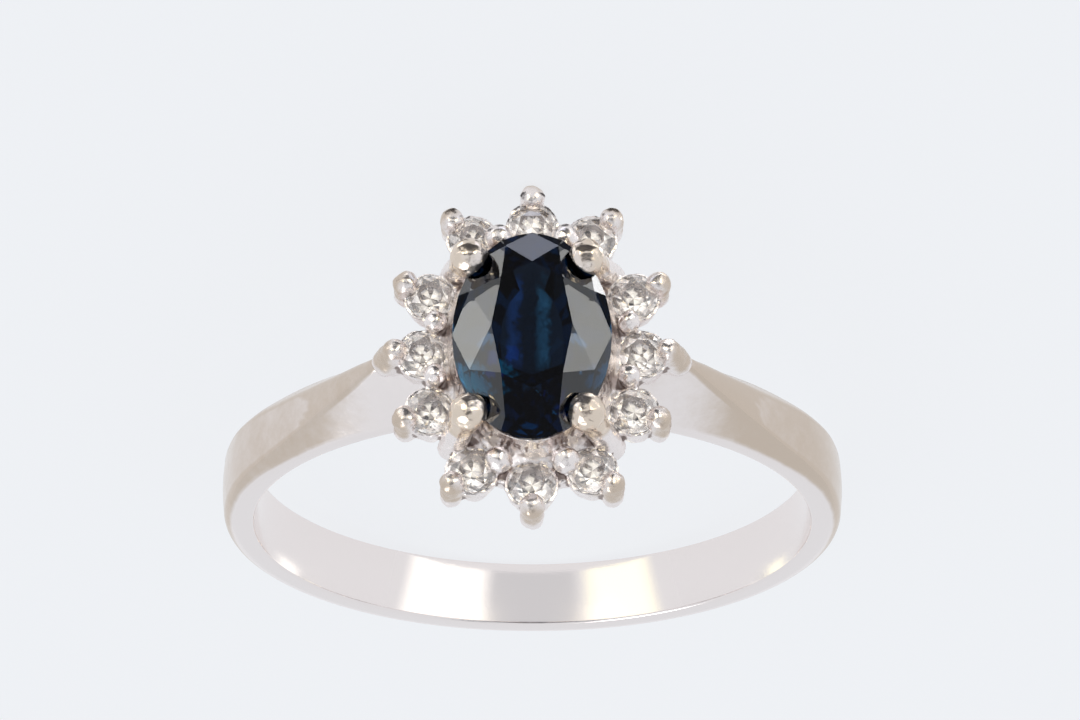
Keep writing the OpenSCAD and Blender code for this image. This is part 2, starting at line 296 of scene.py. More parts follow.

# %% [markdown]
# A brilliant is cut so that light which enters its top is thrown back by the lower
# facets. Rendering that in full takes far more bounces than there is time for, so
# the lower facets are silvered like a mirror. What makes it lively is that one
# facet is bright while the next is dark. The way that a facet faces, taken through
# a cosine, chooses some facets to glow a little, as painted glints, and some of the
# crown to be painted darker, a painted shade for the dark that it would mirror, and
# the place of the stone shifts the choice, so no two stones match.

# %% Small stones
DIAMOND_GIRDLE = 11.6
DIAMOND_IOR, DIAMOND_CLEARNESS = 2.42, 0.9
# Painted shade: the darker crown colour stands for the dark that a crown facet mirrors. The glow colours
# below are painted glints.
CLEAR_CROWN, PAINTED_DARK_CROWN, SILVERED = (1, 1, 1, 1), (0.30, 0.29, 0.285, 1), (0.55, 0.53, 0.525, 1)
LIT_FACET, BRIGHT_FACET = (0.09, 0.085, 0.085, 1), (0.44, 0.42, 0.41, 1)
CROWN_GLINT, STAR_LIGHT = (0.30, 0.29, 0.285, 1), (0.90, 0.85, 0.76, 1)
FACET_CHOICE = {  # waves round the stone, share of the shift, cosines where it starts and is full
    "lit": (11, 1.0, -0.25, 0.05),
    "spark": (7, 1.7, 0.70, 0.80),
    "veiled": (5, 0.8, -0.1, -0.25)}
SHIFT_ACROSS, SHIFT_ALONG = 2.1, 3.3
SILVER_EDGE = (-0.02, -0.03)  # mm from the girdle
POINT_EDGE = (-0.38, -0.5)
TABLE_EDGE = (0.97, 0.95)  # upward share of a facet's normal


def diamond_finish():
    f = Finish("diamond")
    place = f.place()
    level = f.on_bench(head) - DIAMOND_GIRDLE
    facing = f.node("ShaderNodeNewGeometry", {}, {}, "True Normal")
    turn = f.dot(facing, along).math("ARCTAN2", f.dot(facing, across))
    shift = f.dot(place, across) * (SHIFT_ACROSS / MM) + f.dot(place, along) * (SHIFT_ALONG / MM)
    lit, spark, veiled = (
        f.between((turn * waves + shift * share).math("COSINE"), start, full)
        for waves, share, start, full in FACET_CHOICE.values())
    mirror = f.between(level, *SILVER_EDGE)
    at_point = f.between(level, *POINT_EDGE)
    slanted = f.between(f.dot(facing, head), *TABLE_EDGE)
    below = f.blend(spark, f.blend(lit, NO_LIGHT, LIT_FACET), BRIGHT_FACET)
    below = f.blend(at_point * lit, below, STAR_LIGHT)
    above = f.blend(spark * slanted, NO_LIGHT, CROWN_GLINT)
    # Painted shade on the chosen crown facets.
    crown = f.blend(veiled * slanted, CLEAR_CROWN, PAINTED_DARK_CROWN)
    return f.close(f.principled({
        "Base Color": f.blend(mirror, crown, SILVERED), "Metallic": mirror, "Roughness": 0.0,
        "IOR": DIAMOND_IOR, "Transmission Weight": DIAMOND_CLEARNESS,
        "Emission Color": f.blend(mirror, above, below), "Emission Strength": 1.0}))


clear = diamond_finish()
stones = sorted(n for n in frame["nodes"] if n.startswith("diamond_"))
for name in ["sapphire"] + stones:
    stone = frame["nodes"][name]
    stone.data.materials.clear()
    stone.data.materials.append(blue if name == "sapphire" else clear)
    for polygon in stone.data.polygons:
        polygon.use_smooth = False
print("stones given a finish:", 1 + len(stones))

# %% [markdown]
# The head's sizes come next, in millimetres on the bench. Where the stones sit
# could be written down again, but it is read from the model, so that each cup
# stands exactly under its stone: the middle of a stone, turned back onto the bench.

# %% Where the stones sit
ON_AXIS = 0.05  # nearer to an axis than this, a stone stands on it
to_bench = bench.inverted()


def middle_on_bench(node):
    co = np.array([to_bench @ v.co for v in frame["nodes"][node].data.vertices])
    low, high = co.min(0), co.max(0)
    return (low + high) / 2, (high - low) / 2


seats = []
for name in stones:
    middle, _ = middle_on_bench(name)
    seats.append(tuple(value if abs(value) > ON_AXIS else 0.0 for value in middle[:2]))
oval_half = middle_on_bench("sapphire")[1][:2]
print("sapphire half sizes", oval_half.round(3), "first seat", np.round(seats[0], 3))

# %% [markdown]
# The band is one bar, bent round the finger and filed. It could be a curve with a
# bevel, but its section changes all the way: a knife edge at the shoulders, broad
# and low at the back. So it is a loft: a short table says how wide its outer face
# is at each angle from the head, and each section is an outline whose corners are
# rounded by a small arc, as filing and wear leave them.

# %% Band sections
BAND_T = 1.05
SHOULDER_ANGLE, SHOULDER_SINK, SHOULDER_FADE, SHOULDER_TOP = 58, 0.10, 15, 11.0
FACE_ROWS = {  # angle: (width of the outer face, share of flat side wall)
    10: (0.40, 0.06), 25: (0.40, 0.06), 29: (0.65, 0.10), 35: (0.88, 0.18), 41: (1.10, 0.28),
    48: (1.31, 0.40), 55: (1.52, 0.50), 63: (1.73, 0.58), 73: (1.82, 0.62), 90: (1.90, 0.64),
    180: (1.90, 0.64)}
INNER_ROWS = {0: (2.4,), 60: (2.4,), 180: (2.2,)}  # angle: width at the finger
DOME = 0.08
INNER_ROUND, WALL_ROUND, FACE_ROUND, CREST_ROUND = 0.10, 0.22, 0.16, 0.5
ARC_STEPS, ARC_REACH = 4, 0.45


def row_at(rows, angle, column=0):
    return float(np.interp(angle, list(rows), [row[column] for row in rows.values()]))


def band_radius(angle):
    outer = finger_r + BAND_T
    if angle >= SHOULDER_ANGLE:
        return outer - SHOULDER_SINK * max(0.0, 1 - (angle - SHOULDER_ANGLE) / SHOULDER_FADE)
    line = (outer - SHOULDER_SINK) / math.cos(math.radians(SHOULDER_ANGLE - angle))
    return min(line, SHOULDER_TOP / math.cos(math.radians(angle)))


def rounded(corners):
    """A closed outline from corners (x, y, radius), each turned into a small arc."""
    out = []
    for i, (x, y, r) in enumerate(corners):
        here = np.array([x, y])
        sides = []
        for other in (corners[i - 1], corners[(i + 1) % len(corners)]):
            away = np.array(other[:2]) - here
            length = np.linalg.norm(away)
            sides.append(here + away / length * min(r, length * ARC_REACH))
        for k in range(ARC_STEPS + 1):
            t = k / ARC_STEPS
            out.append((1 - t) ** 2 * sides[0] + 2 * t * (1 - t) * here + t * t * sides[1])
    return out


def band_outline(angle):
    a = min(angle, 360 - angle)
    radius, half = band_radius(a), row_at(INNER_ROWS, a) / 2
    face, wall_share = row_at(FACE_ROWS, a) / 2, row_at(FACE_ROWS, a, 1)
    wall = finger_r + wall_share * (radius - finger_r)
    return rounded([
        (half, finger_r, INNER_ROUND), (half, wall, WALL_ROUND), (face, radius - DOME, FACE_ROUND),
        (0, radius, CREST_ROUND),
        (-face, radius - DOME, FACE_ROUND), (-half, wall, WALL_ROUND), (-half, finger_r, INNER_ROUND)])


print("points in a section of the band", len(band_outline(180)))

# %% [markdown]
# Blender makes a mesh from bare points and faces. One function joins rows of
# points by faces, and another merges the doubles and turns all faces outwards,
# so that any section can become a solid piece. The band is the first.

# %% Loft the band
BAND_START, BAND_STEP = 10, 1.5
WELD = 1e-5


def loft(rows, closed):
    """Faces between rows of points, with its two ends closed if it isn't a ring."""
    n, m = len(rows), len(rows[0])
    points = [p for row in rows for p in row]
    faces = []
    for i in range(n if closed else n - 1):
        for j in range(m):
            next_i, next_j = (i + 1) % n, (j + 1) % m
            faces.append((i * m + j, next_i * m + j, next_i * m + next_j, i * m + next_j))
    if not closed:
        faces += [tuple(range(m)), tuple((n - 1) * m + j for j in reversed(range(m)))]
    return points, faces


def add_object(name, mesh):
    piece = bpy.data.objects.new(name, mesh)
    scene.collection.objects.link(piece)
    return piece


def solid(name, points, faces):
    mesh = bpy.data.meshes.new(name)
    mesh.from_pydata([tuple(p) for p in points], [], faces)
    edit = bmesh.new()
    edit.from_mesh(mesh)
    bmesh.ops.remove_doubles(edit, verts=edit.verts, dist=WELD)
    bmesh.ops.recalc_face_normals(edit, faces=edit.faces)
    edit.to_mesh(mesh)
    edit.free()
    return add_object(name, mesh)


band_rows = []
for angle in np.arange(BAND_START, 360 - BAND_START, BAND_STEP):
    sine, cosine = math.sin(math.radians(angle)), math.cos(math.radians(angle))
    band_rows.append([(p[1] * sine, p[0], p[1] * cosine) for p in band_outline(angle)])
band = solid("band", *loft(band_rows, False))
print("band faces", len(band.data.polygons))

# %% [markdown]
# The head is a star of cups, and all its cups are alike, which is work for
# Geometry Nodes. A small class builds a tree with named inputs, and a function
# runs it on a bare mesh of points and keeps only the plain mesh that comes out.

# %% Geometry Nodes helpers
ROUND = 32


class Tree:
    """A Geometry Nodes tree with named inputs that ends in one plain mesh."""

    def __init__(self, name, inputs):
        self.group = bpy.data.node_groups.new(name, "GeometryNodeTree")
        face = self.group.interface
        face.new_socket("Geometry", in_out="INPUT", socket_type="NodeSocketGeometry")
        self.keys = {}
        for label, value in inputs.items():
            socket = face.new_socket(label, in_out="INPUT", socket_type="NodeSocketFloat")
            socket.default_value = value
            self.keys[label] = socket.identifier
        face.new_socket("Geometry", in_out="OUTPUT", socket_type="NodeSocketGeometry")
        self.start = self.group.nodes.new("NodeGroupInput")
        self.end = self.group.nodes.new("NodeGroupOutput")

    def value(self, label):
        return self.start.outputs[label]

    def node(self, kind, settings=None, values=None, out=0):
        made = self.group.nodes.new(kind)
        for name, value in (settings or {}).items():
            setattr(made, name, value)
        for key, value in (values or {}).items():
            socket = made.inputs[key]
            if isinstance(value, list):
                for one in value:
                    self.group.links.new(one, socket)
            elif isinstance(value, bpy.types.NodeSocket):
                self.group.links.new(value, socket)
            else:
                socket.default_value = value
        return made.outputs[out]

    def math(self, kind, a, b):
        return self.node("ShaderNodeMath", {"operation": kind}, {0: a, 1: b})

    def vector(self, x, y, z):
        return self.node("ShaderNodeCombineXYZ", {}, {"X": x, "Y": y, "Z": z})

    def shift(self, mesh, place):
        return self.node("GeometryNodeTransform", {}, {"Geometry": mesh, "Translation": place})

    def ball(self, radius):
        values = {"Segments": ROUND, "Rings": ROUND // 2, "Radius": radius}
        return self.node("GeometryNodeMeshUVSphere", {}, values)

    def finish(self, mesh, material):
        real = self.node("GeometryNodeRealizeInstances", {}, {"Geometry": mesh})
        done = self.node("GeometryNodeSetMaterial", {}, {"Geometry": real, "Material": material})
        self.group.links.new(done, self.end.inputs[0])


def plain_mesh(piece):
    """The mesh that a piece has with its modifiers, as a plain mesh of its own."""
    graph = bpy.context.evaluated_depsgraph_get()
    return bpy.data.meshes.new_from_object(piece.evaluated_get(graph))


def grow(name, tree, points, edges=(), turns=None):
    """Runs a tree on a bare mesh of points and returns the plain mesh it makes."""
    bare = bpy.data.meshes.new(name)
    bare.from_pydata([tuple(p) for p in points], list(edges), [])
    if turns is not None:
        bare.attributes.new("turn", "FLOAT", "POINT").data.foreach_set("value", np.array(turns, "f"))
    carrier = add_object(name, bare)
    modifier = carrier.modifiers.new("grow", "NODES")
    modifier.node_group = tree.group
    for label, key in tree.keys.items():
        modifier[key] = float(tree.group.interface.items_tree[label].default_value)
    mesh = plain_mesh(carrier)
    bpy.data.objects.remove(carrier)
    return add_object(name, mesh)


print("sides of a round piece", ROUND)

# %% [markdown]
# Each small stone sits in a cup, a cone open at the foot, with one ball claw on a
# post at its outer side and a web of metal between them. They could be modelled
# twelve times, but one tree draws the cup with its claw from named sizes, and an
# instance of it stands at every seat, turned so that its claw points outwards.

# %% Cups and outer claws
CUP_SIZES = {
    "Cup foot radius": 0.66, "Cup rim radius": 0.85, "Cup foot height": 10.62, "Cup rim height": 11.57,
    "Claw reach": 0.85, "Claw ball radius": 0.39, "Claw ball height": 11.85,
    "Post foot radius": 0.35, "Post head radius": 0.38, "Post foot height": 10.85, "Web width": 0.64}
WEB_T, WEB_DROP = 0.62, 0.42
FOOT_SWELL = 0.015
CLAW_TURNS = [  # place of a seat in one quarter, and the angle of its claw
    (0, 4.4, 90), (1.87, 3.93, 41), (3.2, 1.95, 24), (3.45, 0, 0)]


def cup_unit(tree):
    """A cup with its outer claw, drawn along X from the seat."""
    size = tree.value
    reach = size("Claw reach")

    def cone(part, foot, top, x):
        depth = tree.math("SUBTRACT", size(top), size(foot))
        made = tree.node("GeometryNodeMeshCone", {}, {
            "Vertices": ROUND, "Depth": depth,
            "Radius Top": size(part[1]), "Radius Bottom": size(part[0])})
        return tree.shift(made, tree.vector(x, 0.0, size(foot)))

    web = tree.node("GeometryNodeMeshCube", {}, {"Size": tree.vector(reach, size("Web width"), WEB_T)})
    web_height = tree.math("SUBTRACT", size("Cup rim height"), WEB_DROP)
    foot_ball = tree.ball(tree.math("ADD", size("Post foot radius"), FOOT_SWELL))
    return tree.node("GeometryNodeJoinGeometry", {}, {"Geometry": [
        cone(("Cup foot radius", "Cup rim radius"), "Cup foot height", "Cup rim height", 0.0),
        cone(("Post foot radius", "Post head radius"), "Post foot height", "Claw ball height", reach),
        tree.shift(tree.ball(size("Claw ball radius")), tree.vector(reach, 0.0, size("Claw ball height"))),
        tree.shift(foot_ball, tree.vector(reach, 0.0, size("Post foot height"))),
        tree.shift(web, tree.vector(tree.math("MULTIPLY", reach, 0.5), 0.0, web_height))]})


def claw_turn(x, y):
    """The way a seat's claw points, from the quarter that the seat is in."""
    nearest = min(CLAW_TURNS, key=lambda row: math.hypot(abs(x) - row[0], abs(y) - row[1]))
    turn = math.radians(nearest[2])
    return math.atan2(math.copysign(math.sin(turn), y or 1), math.copysign(math.cos(turn), x or 1))


star = Tree("star of cups", CUP_SIZES)
turn = star.node("GeometryNodeInputNamedAttribute", {"data_type": "FLOAT"}, {"Name": "turn"})
copies = star.node("GeometryNodeInstanceOnPoints", {}, {
    "Points": star.value("Geometry"), "Instance": cup_unit(star), "Rotation": star.vector(0.0, 0.0, turn)})
star.finish(copies, gold)
cups = grow("cups", star, [(x, y, 0.0) for x, y in seats], turns=[claw_turn(x, y) for x, y in seats])
print("cups and outer claws, faces", len(cups.data.polygons))

# %% [markdown]
# Inner beads and the four main claws are posts with a ball on top, and so is the
# extra metal at each shoulder. Each one is an edge of a bare mesh, from foot to
# ball, and a tree turns it into a tapered bar with a ball at its upper end. The
# taper is the bar's scale along the edge. The beads repeat in each quarter, but
# the main claws were pushed over the sapphire by hand, so each ball has a place
# of its own.

# %% Beads and main claws
BAR_POINTS = 6
QUARTERS = [(1, 1), (1, -1), (-1, 1), (-1, -1)]
BEAD_FOOT, BEAD_TOP = 10.9, 12.1
SIDE_BEAD, END_BEAD = (3.05, 0.90), (1.05, 3.77)
MAIN_CLAW_FOOT = (2.54, 2.94, 10.85)
MAIN_CLAW_BALLS = [(1.99, 2.71, 13.4), (1.97, -2.54, 13.4), (-1.70, 2.72, 13.4), (-1.70, -2.50, 13.4)]
HIP_FOOT, HIP_BALL = (4.60, 0, 10.8), (4.36, 0, 11.74)
POST_LABELS = ("Foot radius", "Head radius", "Ball radius")
POST_SIZES = {
    "side_beads": (0.28, 0.28, 0.35), "end_beads": (0.28, 0.30, 0.44),
    "main_claws": (0.43, 0.42, 0.60), "shoulder_claws": (0.46, 0.38, 0.38)}


def ball_posts(name, feet, balls):
    tree = Tree(name, dict(zip(POST_LABELS, POST_SIZES[name])))
    curve = tree.node("GeometryNodeMeshToCurve", {}, {"Mesh": tree.value("Geometry")})
    curve = tree.node("GeometryNodeResampleCurve", {}, {"Curve": curve, "Count": BAR_POINTS})
    share = tree.node("GeometryNodeSplineParameter", {}, {}, 0)
    spread = tree.math("SUBTRACT", tree.value("Head radius"), tree.value("Foot radius"))
    radius = tree.math("ADD", tree.value("Foot radius"), tree.math("MULTIPLY", share, spread))
    ring = tree.node("GeometryNodeCurvePrimitiveCircle", {}, {"Resolution": ROUND, "Radius": 1.0})
    bar = tree.node("GeometryNodeCurveToMesh", {}, {
        "Curve": curve, "Profile Curve": ring, "Scale": radius, "Fill Caps": True})
    tips = tree.node("GeometryNodeCurveEndpointSelection", {}, {"Start Size": 0, "End Size": 1})
    tip_balls = tree.node("GeometryNodeInstanceOnPoints", {}, {
        "Points": curve, "Selection": tips, "Instance": tree.ball(tree.value("Ball radius"))})
    tree.finish(tree.node("GeometryNodeJoinGeometry", {}, {"Geometry": [bar, tip_balls]}), gold)
    points = [p for post in zip(feet, balls) for p in post]
    edges = [(2 * i, 2 * i + 1) for i in range(len(feet))]
    return grow(name, tree, points, edges)


def four(point):
    return [(sx * point[0], sy * point[1], point[2]) for sx, sy in QUARTERS]


def both_sides(point):
    return [(side * point[0], point[1], point[2]) for side in (1, -1)]


side_beads = ball_posts("side_beads", four((*SIDE_BEAD, BEAD_FOOT)), four((*SIDE_BEAD, BEAD_TOP)))
end_beads = ball_posts("end_beads", four((*END_BEAD, BEAD_FOOT)), four((*END_BEAD, BEAD_TOP)))
claws = ball_posts("main_claws", four(MAIN_CLAW_FOOT), MAIN_CLAW_BALLS)
hips = ball_posts("shoulder_claws", both_sides(HIP_FOOT), both_sides(HIP_BALL))
print("beads and main claws, faces", sum(len(o.data.polygons) for o in (side_beads, end_beads, claws, hips)))

# %% [markdown]
# Under the sapphire an oval collet carries its edge, and a plate ties it to the
# cups. On the real ring they are cast with the rest. Both are one section here,
# swept round the stone's own oval, so that the metal follows the stone exactly.

# %% Collet and plate
COLLET = [  # (height, distance out from the stone's own oval)
    (9.45, -0.72), (9.45, -0.36), (10.45, -0.16), (10.72, 0.35), (10.78, 0.92), (11.36, 0.92),
    (11.42, 0.52), (11.85, 0.14), (12.40, -0.01), (12.93, -0.05), (12.93, -0.36), (11.30, -0.62)]
OVAL_STEPS = 96


def full_turn(steps):
    return [2 * math.pi * k / steps for k in range(steps)]


def oval_point(a, half_x, half_y, z):
    return (half_x * math.cos(a), half_y * math.sin(a), z)


collet_rows = [[oval_point(a, oval_half[0] + r, oval_half[1] + r, z) for z, r in COLLET]
               for a in full_turn(OVAL_STEPS)]
collet = solid("collet", *loft(collet_rows, True))
print("collet faces", len(collet.data.polygons))

# %% [markdown]
# A casting has no seams. Pieces that only overlap would show hard creases where
# they meet, so the head's parts are fused: the overlapping shapes become one skin
# on a fine grid, which is smoothed a little, and the joints fill like solder. A
# soft noise then moves the skin, because claws are pushed and filed by hand.

# %% Fuse the head
GRID = 0.05
SOFTEN, SOFTEN_ROUNDS = 0.5, 3
LUMP_SIZE, LUMP_DEPTH, LUMP_REACH, LUMP_MIDDLE = 0.38, 2, 0.11, 0.45
KEPT_TRIANGLES = 0.64


def join(name, pieces):
    edit = bmesh.new()
    for piece in pieces:
        edit.from_mesh(piece.data)
    mesh = bpy.data.meshes.new(name)
    edit.to_mesh(mesh)
    edit.free()
    for piece in pieces:
        bpy.data.objects.remove(piece)
    return add_object(name, mesh)


def modify(piece, kind, **settings):
    modifier = piece.modifiers.new(kind.lower(), kind)
    for name, value in settings.items():
        setattr(modifier, name, value)


def settle(piece):
    """Applies a piece's modifiers, so that only a plain mesh is left."""
    mesh = plain_mesh(piece)
    piece.modifiers.clear()
    piece.data = mesh


hand_work = bpy.data.textures.new("hand_work", "CLOUDS")
hand_work.noise_scale = LUMP_SIZE
hand_work.noise_depth = LUMP_DEPTH
head_piece = join("head", [cups, side_beads, end_beads, claws, hips, collet])
modify(head_piece, "REMESH", mode="VOXEL", voxel_size=GRID, use_smooth_shade=True)
modify(head_piece, "SMOOTH", factor=SOFTEN, iterations=SOFTEN_ROUNDS)
modify(head_piece, "DISPLACE", texture=hand_work, texture_coords="LOCAL", strength=LUMP_REACH,
       mid_level=LUMP_MIDDLE)
modify(head_piece, "DECIMATE", ratio=KEPT_TRIANGLES)
settle(head_piece)
print("points in the fused head", len(head_piece.data.vertices))

# %% [markdown]
# A setter cuts each seat to fit its stone once the metal is there, and so does
# this step. The room for a stone is a solid that is a hair larger than the stone,
# and it is cut out after the smoothing, so that the edges of the seats stay crisp.
# Only the rim of the hole under a small stone still reaches 0.02 mm into it, and
# the band, which isn't cut, 0.03 mm into the points of the two stones above its
# shoulders. Neither shows, because the silvered lower facets cover them.

# %% Cut the seats
SEAT_GAP = 0.008
SEAT_STEPS = 48
DIAMOND_R = 0.75
HALF_GIRDLE = 0.02
KITE_R, KITE_H = 0.66, 0.13
TABLE_R, TABLE_H = 0.43, 0.25
HOLE_R, HOLE_FOOT, HOLE_DROP = 0.34, 10.0, 0.36
SAPPHIRE_ROOM = [  # (height over the girdle, share of the half width, share of the half length)
    (-2.0, 0.44, 0.55), (-1.0, 0.75, 0.82), (-0.10, 1, 1), (0.10, 1, 1), (0.56, 0.86, 0.90),
    (0.96, 0.60, 0.72)]


def seat_room(x, y):
    """The room for a small stone, with the hole under it: a profile spun round an upright axis."""
    rise = DIAMOND_GIRDLE + SEAT_GAP
    profile = [
        (0.0, HOLE_FOOT), (HOLE_R, HOLE_FOOT), (HOLE_R, DIAMOND_GIRDLE - HOLE_DROP),
        (DIAMOND_R + SEAT_GAP, DIAMOND_GIRDLE - HALF_GIRDLE - SEAT_GAP),
        (DIAMOND_R + SEAT_GAP, rise + HALF_GIRDLE), (KITE_R + SEAT_GAP, rise + KITE_H),
        (TABLE_R + SEAT_GAP, rise + TABLE_H), (0.0, rise + TABLE_H)]
    rows = [[(x + r * math.cos(a), y + r * math.sin(a), z) for r, z in profile]
            for a in full_turn(SEAT_STEPS)]
    return solid("room", *loft(rows, True))


def oval_room():
    rows = [[oval_point(a, oval_half[0] * wide + SEAT_GAP, oval_half[1] * long + SEAT_GAP,
                        SAPPHIRE_GIRDLE + z)
             for a in full_turn(OVAL_STEPS)]
            for z, wide, long in SAPPHIRE_ROOM]
    return solid("room", *loft(rows, False))


rooms = join("rooms", [seat_room(x, y) for x, y in seats] + [oval_room()])
modify(head_piece, "BOOLEAN", operation="DIFFERENCE", solver="MANIFOLD", object=rooms)
settle(head_piece)
bpy.data.objects.remove(rooms)
print("head triangles", sum(len(p.vertices) - 2 for p in head_piece.data.polygons))

# %% [markdown]
# Wear needs to know what sticks out. A point's place and the way it faces give a
# good guess. On the band the outer face is rubbed, most of all at the sides, and
# the walls inside are sheltered. On the head it is the outer claws and the tips
# of the main claws that catch on things, on the side that faces away. Faces that
# point up get less of the tan, a painted highlight that keeps the tops pale.

# %% Wear
CREST_ANGLES = (20, 55)
FACE_OUT, FACE_WEAR, CREST_WEAR = 0.97, 0.33, 0.25
EDGE_OUT, EDGE_WEAR_RISE, EDGE_WEAR = 0.3, 2.2, 0.68
RIGHT_WEAR, RIGHT_REACH, RIGHT_RISE = 0.13, (0, 5), 3
CLAW_REACH, CLAW_HEIGHTS = (0.95, 0.75), (12.3, 12.7)
STAR_HALF = (3.45, 4.4)
RIM_HALF, RIM_RISE, RIM_HEIGHTS = (4.0, 4.95), 6, (10.9, 11.3)
# The last of these is a painted highlight: faces that point up lose tan and read paler.
HEAD_WEAR, CLAW_WEAR, OUT_WEAR, TOP_SHEEN = 0.74, 0.06, 0.36, -0.14
NOT_ZERO = 1e-6


def ramp(values, start, end):
    return np.clip((values - start) / (end - start), 0, 1)


def facing_out(co, n):
    """How far each point of the band faces away from the finger, up to 1."""
    radial = np.stack([co[:, 0], np.zeros(len(co)), co[:, 2]], 1)
    radial /= np.linalg.norm(radial, axis=1)[:, None]
    return (n * radial).sum(1)


def band_wear(co, n):
    out = facing_out(co, n)
    crest = ramp(np.degrees(np.arctan2(abs(co[:, 0]), co[:, 2])), *CREST_ANGLES)
    edges = np.clip((out - EDGE_OUT) * EDGE_WEAR_RISE, 0, EDGE_WEAR)
    worn = np.where(out > FACE_OUT, FACE_WEAR + CREST_WEAR * crest, edges)
    more_on_the_right = RIGHT_WEAR * ramp(-co[:, 0], *RIGHT_REACH)
    return worn + more_on_the_right * np.clip(out * RIGHT_RISE, 0, 1)


def on_main_claw(co, n=None):
    away = np.min([np.hypot(co[:, 0] - x, co[:, 1] - y) for x, y, _ in MAIN_CLAW_BALLS], axis=0)
    return ramp(away, *CLAW_REACH) * ramp(co[:, 2], *CLAW_HEIGHTS)


def head_wear(co, n):
    out = co[:, :2] / STAR_HALF
    out /= np.linalg.norm(out, axis=1)[:, None] + NOT_ZERO
    faces_out = (n[:, :2] * out).sum(1)
    rim = np.hypot(co[:, 0] / RIM_HALF[0], co[:, 1] / RIM_HALF[1])
    tips = np.clip((rim - 1.0) * RIM_RISE, 0, 1) * ramp(co[:, 2], *RIM_HEIGHTS)
    high_claws = on_main_claw(co)
    rubbed = HEAD_WEAR + CLAW_WEAR * high_claws + OUT_WEAR * faces_out + TOP_SHEEN * n[:, 2]
    return np.maximum(tips, high_claws) * np.clip(rubbed, 0, 1)


def points_of(piece):
    """Places and normals of a piece's points, as two arrays."""
    vertices = piece.data.vertices
    return np.array([v.co for v in vertices]), np.array([v.normal for v in vertices])


for piece, wear_of in ((band, band_wear), (head_piece, head_wear)):
    print("mean wear of the", piece.name, round(float(wear_of(*points_of(piece)).mean()), 3))

# %% [markdown]
# Hollows are painted darker, a painted shade where less light would reach. Blender
# could bake how hidden each point is, but that is slow. Smoothing a copy of the
# skin shows the same: where the smooth copy lies above a point, the point is in a
# hollow. Under the sapphire a row of small dark spots, painted shade that stands
# for the pits of a casting, breaks up the flank. A few waves round the oval place
# them, so that the gaps between them are uneven.

# %% Painted shade in hollows and pits
HOLLOW_DEPTH = 0.035
FLANK_REACH, FLANK_HEIGHT, FLANK_SHADE = 1.1, 11.7, 0.3
PIT_WAVES = [  # (waves round the oval, start, strength)
    (84, 0.0, 1.0), (52.92, 1.3, 0.9), (9, 0.4, 0.7)]
PIT_HEIGHT, PIT_HALF, PIT_SOFT, PIT_REACH = 12.38, 0.12, 1.6, 1.08
PIT_SWAY = (23, 0.7, 0.07)  # waves, start, mm
PIT_CHANCE, PIT_RISE, PIT_SHADE = 0.3, 2, 2


def hollows(piece, rounds=24):
    """How far each point lies below the smoothed skin, in mm: the hollows are above 0."""
    co, normals = points_of(piece)
    a, b = np.array([e.vertices for e in piece.data.edges]).T
    degree = np.bincount(a, minlength=len(co)) + np.bincount(b, minlength=len(co))
    soft = co.copy()
    for _ in range(rounds):
        sums = [np.bincount(a, soft[b, k], len(co)) + np.bincount(b, soft[a, k], len(co)) for k in range(3)]
        soft = np.stack(sums, 1) / degree[:, None]
    return ((soft - co) * normals).sum(1)


head_hollows = hollows(head_piece)
print("hollows of the head in mm, median and deepest", np.percentile(head_hollows, [50, 100]).round(3))


# Painted shade: darker in the hollows, less so on the sapphire's flank, and darkest in the row of pits.
def head_hollow_shade(co, n):
    x, y = co[:, 0] / oval_half[0], co[:, 1] / oval_half[1]
    turn, reach = np.arctan2(y, x), np.hypot(x, y)
    height = PIT_HEIGHT + PIT_SWAY[2] * np.cos(PIT_SWAY[0] * turn + PIT_SWAY[1])
    row = np.clip(PIT_SOFT - abs(co[:, 2] - height) / PIT_HALF, 0, 1) * (reach < PIT_REACH)
    chance = sum(strength * np.cos(waves * turn + start) for waves, start, strength in PIT_WAVES)
    pits = np.clip((chance - PIT_CHANCE) * PIT_RISE, 0, 1) * row * PIT_SHADE
    flank = (reach < FLANK_REACH) & (co[:, 2] > FLANK_HEIGHT)
    return np.maximum(head_hollows / HOLLOW_DEPTH * np.where(flank, FLANK_SHADE, 1), pits)


# %% [markdown]
# The four marks go into vertex attributes, which the white gold reads. The band
# was polished bright and the head is as cast, so matt is low on the one and high
# on the other. Then both pieces are laid on the floor from the bench, shaded
# smooth but for true edges, and attached to the root body. The band stands for
# the model's mount.

# %% Finish the metal
BAND_MATT = 0.2
MATT_HEIGHTS, LEAST_MATT = (12.2, 13.4), 0.6
SHARP_ANGLE = 38


def mark(piece, **fields):
    co, normals = points_of(piece)
    for name, field in fields.items():
        values = np.clip(field(co, normals), 0, 1).astype("f")
        piece.data.attributes.new(name, "FLOAT", "POINT").data.foreach_set("value", values)


def nowhere(co, n):
    return np.zeros(len(co))


def band_matt(co, n):
    return np.clip(facing_out(co, n), 0, BAND_MATT)


def head_matt(co, n):
    return np.maximum(1 - ramp(co[:, 2], *MATT_HEIGHTS), LEAST_MATT)


mark(band, wear=band_wear, grime=nowhere, matt=band_matt, claw=nowhere)
mark(head_piece, wear=head_wear, grime=head_hollow_shade, matt=head_matt, claw=on_main_claw)
for piece in (band, head_piece):
    piece.data.transform(bench)
    piece.data.materials.clear()
    piece.data.materials.append(gold)
    for polygon in piece.data.polygons:
        polygon.material_index = 0
        polygon.use_smooth = True
    piece.data.set_sharp_from_angle(angle=math.radians(SHARP_ANGLE))
    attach(piece, "root")
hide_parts("ring_mount")
print("metal pieces", [p.name for p in (band, head_piece)])

# %% [markdown]
# The camera stands where it shows the head a little from one side, 23 degrees off
# the head's own axis, and is rolled so that the head's far side is at the top. Its
# lens could be set by eye, but it follows from how large the ring is in the frame,
# at a distance of 25 cm.

